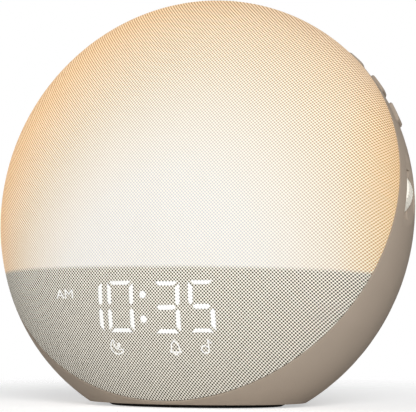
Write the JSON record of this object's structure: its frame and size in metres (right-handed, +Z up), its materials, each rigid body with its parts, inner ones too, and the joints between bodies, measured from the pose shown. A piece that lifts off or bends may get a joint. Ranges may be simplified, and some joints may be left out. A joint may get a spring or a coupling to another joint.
{
  "type": "sunrise alarm clock",
  "caption": "Round leaning bedside alarm clock with a cloth-covered front, a dawn lamp above the time display, and keys, a thumbwheel and a speaker in its housing.",
  "frame": {"origin": "on the table, below the middle of the body's width and depth", "axes": "+X to the right seen from the front, +Y to the back, +Z up"},
  "size_m": [0.1502, 0.098, 0.1398],
  "materials": {
    "housing": "satin warm grey moulded plastic",
    "cloth": "cream open-knit cloth stretched over the front",
    "dark_plastic": "matt black moulded plastic",
    "opal": "translucent opal plastic",
    "white_plastic": "matt white moulded plastic",
    "foot": "matt dark grey rubber",
    "wheel": "off-white ribbed plastic",
    "white_board": "white solder mask",
    "lamp": "lamp package with yellow phosphor",
    "circuit_board": "green solder mask",
    "chip_plastic": "black moulded component plastic",
    "steel": "zinc-plated steel",
    "magnet": "dark ferrite magnet with its steel plates",
    "cone": "black pressed paper cone with a rubber surround",
    "ribbon": "white flat cable"
  },
  "bodies": {
    "clock": {"rear_housing": "housing", "foot_pad": "foot", "front_ring": "dark_plastic", "display_panel": "dark_plastic", "diffuser": "opal", "front_cloth": "cloth", "light_divider": "white_plastic", "reflector": "white_plastic", "lamp_board": "white_board", "lamps": "lamp", "lamp_screws": "steel", "display_mask": "dark_plastic", "light_guides": "opal", "display_board": "circuit_board", "display_leds": "white_plastic", "display_screws": "steel", "main_board": "circuit_board", "board_chips": "chip_plastic", "main_screws": "steel", "power_jack": "chip_plastic", "lamp_ribbon": "ribbon", "display_ribbon": "ribbon", "speaker_grille": "housing", "speaker_gasket": "foot", "speaker_frame": "steel", "speaker_cone": "cone", "speaker_magnet": "magnet", "speaker_screws": "steel", "key_board": "circuit_board", "key_switches": "steel", "key_screws": "steel", "wheel_encoder": "chip_plastic", "wheel_board": "circuit_board", "wheel_screws": "steel", "housing_screws": "steel"},
    "upper_key": {"key_upper": "housing", "plunger_upper": "chip_plastic"},
    "middle_key": {"key_middle": "housing", "plunger_middle": "chip_plastic"},
    "lower_key": {"key_lower": "housing", "plunger_lower": "chip_plastic"},
    "wheel": {"thumbwheel": "wheel", "wheel_shaft": "steel"}
  },
  "joints": [
    {"name": "upper_key_press", "type": "slide", "parent": "clock", "child": "upper_key", "axis": [-0.8013, -0.1938, -0.5661], "range_m": [0, 0.0006], "stiffness_N_per_m": 800},
    {"name": "middle_key_press", "type": "slide", "parent": "clock", "child": "middle_key", "axis": [-0.8013, -0.1938, -0.5661], "range_m": [0, 0.0006], "stiffness_N_per_m": 800},
    {"name": "lower_key_press", "type": "slide", "parent": "clock", "child": "lower_key", "axis": [-0.8013, -0.1938, -0.5661], "range_m": [0, 0.0006], "stiffness_N_per_m": 800},
    {"name": "wheel_spin", "type": "hinge", "parent": "clock", "child": "wheel", "pos_m": [0.06653, 0.00027, 0.07005], "axis": [0, -0.9461, 0.3239], "continuous": true}
  ]
}
